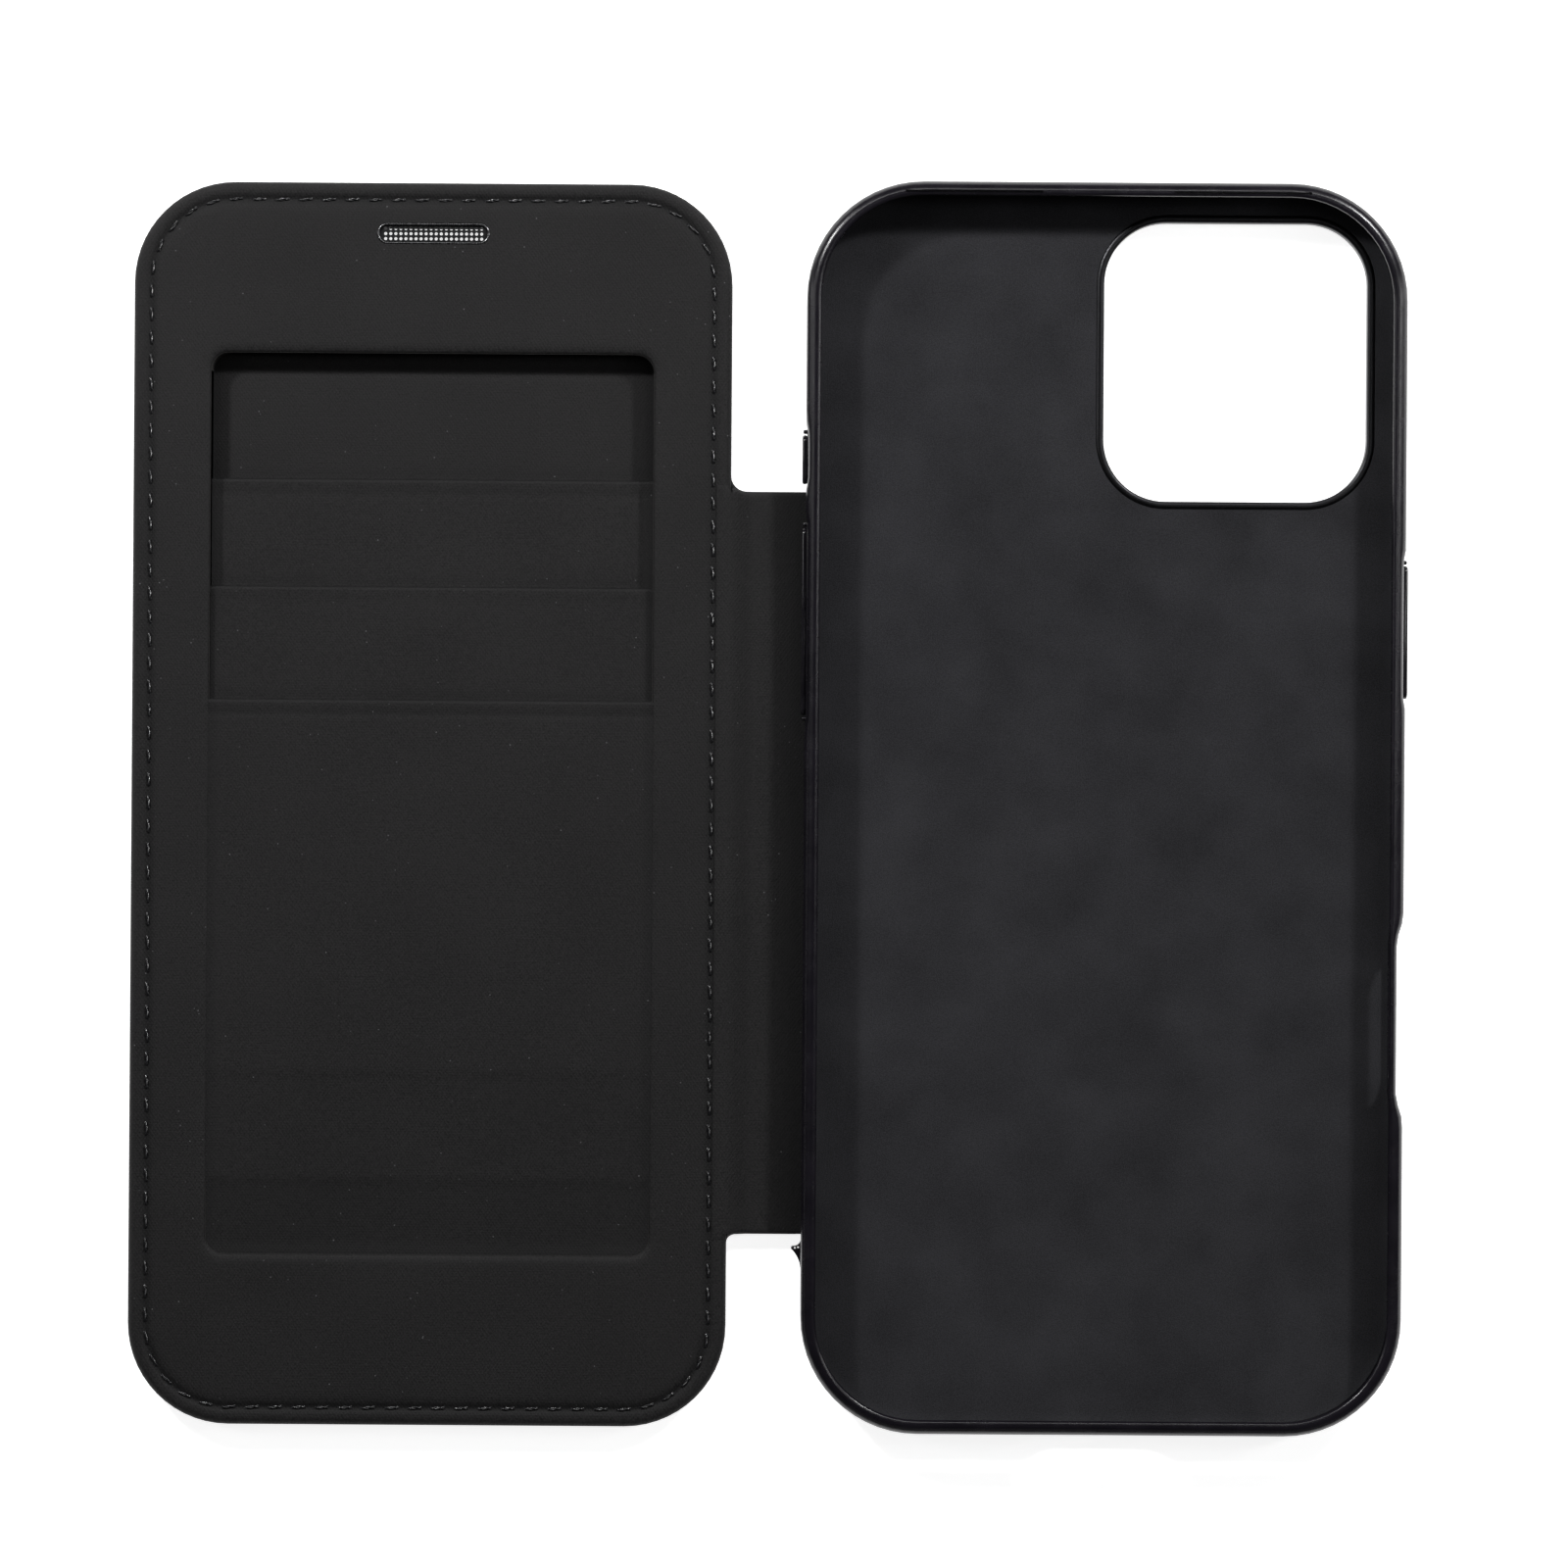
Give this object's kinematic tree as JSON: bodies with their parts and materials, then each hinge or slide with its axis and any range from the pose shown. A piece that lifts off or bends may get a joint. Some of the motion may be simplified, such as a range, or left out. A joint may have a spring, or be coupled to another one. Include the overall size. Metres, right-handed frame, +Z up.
{
  "type": "phone wallet case",
  "caption": "Folding wallet case for a slim phone: padded cover with stacked card pockets and an earpiece grille, flat spine strip and moulded bumper tray with side buttons.",
  "frame": {"origin": "centre of the opened case's box, on the surface that it lies on", "axes": "+X from the cover to the tray, +Y to the top of the phone, +Z up out of the tray"},
  "size_m": [0.164, 0.1606, 0.0085],
  "materials": {
    "cover_leather": "fine-grained black leather with a dull sheen",
    "lining_leather": "smooth black lining leather with a very fine grain",
    "microfibre": "short-napped charcoal microfibre",
    "bumper_rubber": "semi-gloss black moulded elastomer",
    "black_polycarbonate": "matte black",
    "button_plastic": "satin black",
    "camera_ring": "satin black anodised",
    "core_board": "dark pressed board",
    "backing_tape": "grey non-woven tape",
    "thread": "black waxed sewing thread",
    "mesh_steel": "fine etched mesh, blackened",
    "rim_metal": "dark satin",
    "magnet": "nickel plated",
    "keeper_steel": "plain"
  },
  "bodies": {
    "tray": {"back_skin": "cover_leather", "back_plate": "black_polycarbonate", "tray_lining": "microfibre", "bumper_frame": "bumper_rubber", "camera_frame": "camera_ring", "spine_anchor": "cover_leather", "keeper_strips": "keeper_steel"},
    "action_key": {"action_button": "button_plastic"},
    "volume_key": {"volume_button": "button_plastic"},
    "power_key": {"power_button": "button_plastic"},
    "spine": {"spine_skin": "cover_leather", "spine_tape": "backing_tape", "spine_lining": "lining_leather"},
    "cover": {"cover_skin": "cover_leather", "cover_board": "core_board", "cover_core": "core_board", "cover_lining": "lining_leather", "cover_hinge_tab": "cover_leather", "cover_seam": "thread", "cover_magnets": "magnet", "grille_mesh": "mesh_steel", "grille_rim": "rim_metal", "pocket_base": "lining_leather", "pocket_panel_1": "lining_leather", "pocket_panel_2": "lining_leather", "pocket_panel_3": "lining_leather", "pocket_spacer_1": "core_board", "pocket_spacer_2": "core_board", "pocket_spacer_3": "core_board"}
  },
  "joints": [
    {"name": "tray_crease", "type": "hinge", "parent": "tray", "child": "spine", "pos_m": [0.00347, 0, 0.0019], "axis": [0, 1, 0], "range_deg": [-90, 90]},
    {"name": "cover_crease", "type": "hinge", "parent": "spine", "child": "cover", "pos_m": [-0.00583, 0, 0.0019], "axis": [0, 1, 0], "range_deg": [-90, 90]},
    {"name": "action_press", "type": "slide", "parent": "tray", "child": "action_key", "axis": [1, 0, 0], "range_m": [0, 0.00035], "stiffness_N_per_m": 1000, "springref_m": -0.0001},
    {"name": "volume_press", "type": "slide", "parent": "tray", "child": "volume_key", "axis": [1, 0, 0], "range_m": [0, 0.00035], "stiffness_N_per_m": 1000, "springref_m": -0.0001},
    {"name": "power_press", "type": "slide", "parent": "tray", "child": "power_key", "axis": [-1, 0, 0], "range_m": [0, 0.00035], "stiffness_N_per_m": 1000, "springref_m": -0.0001}
  ]
}
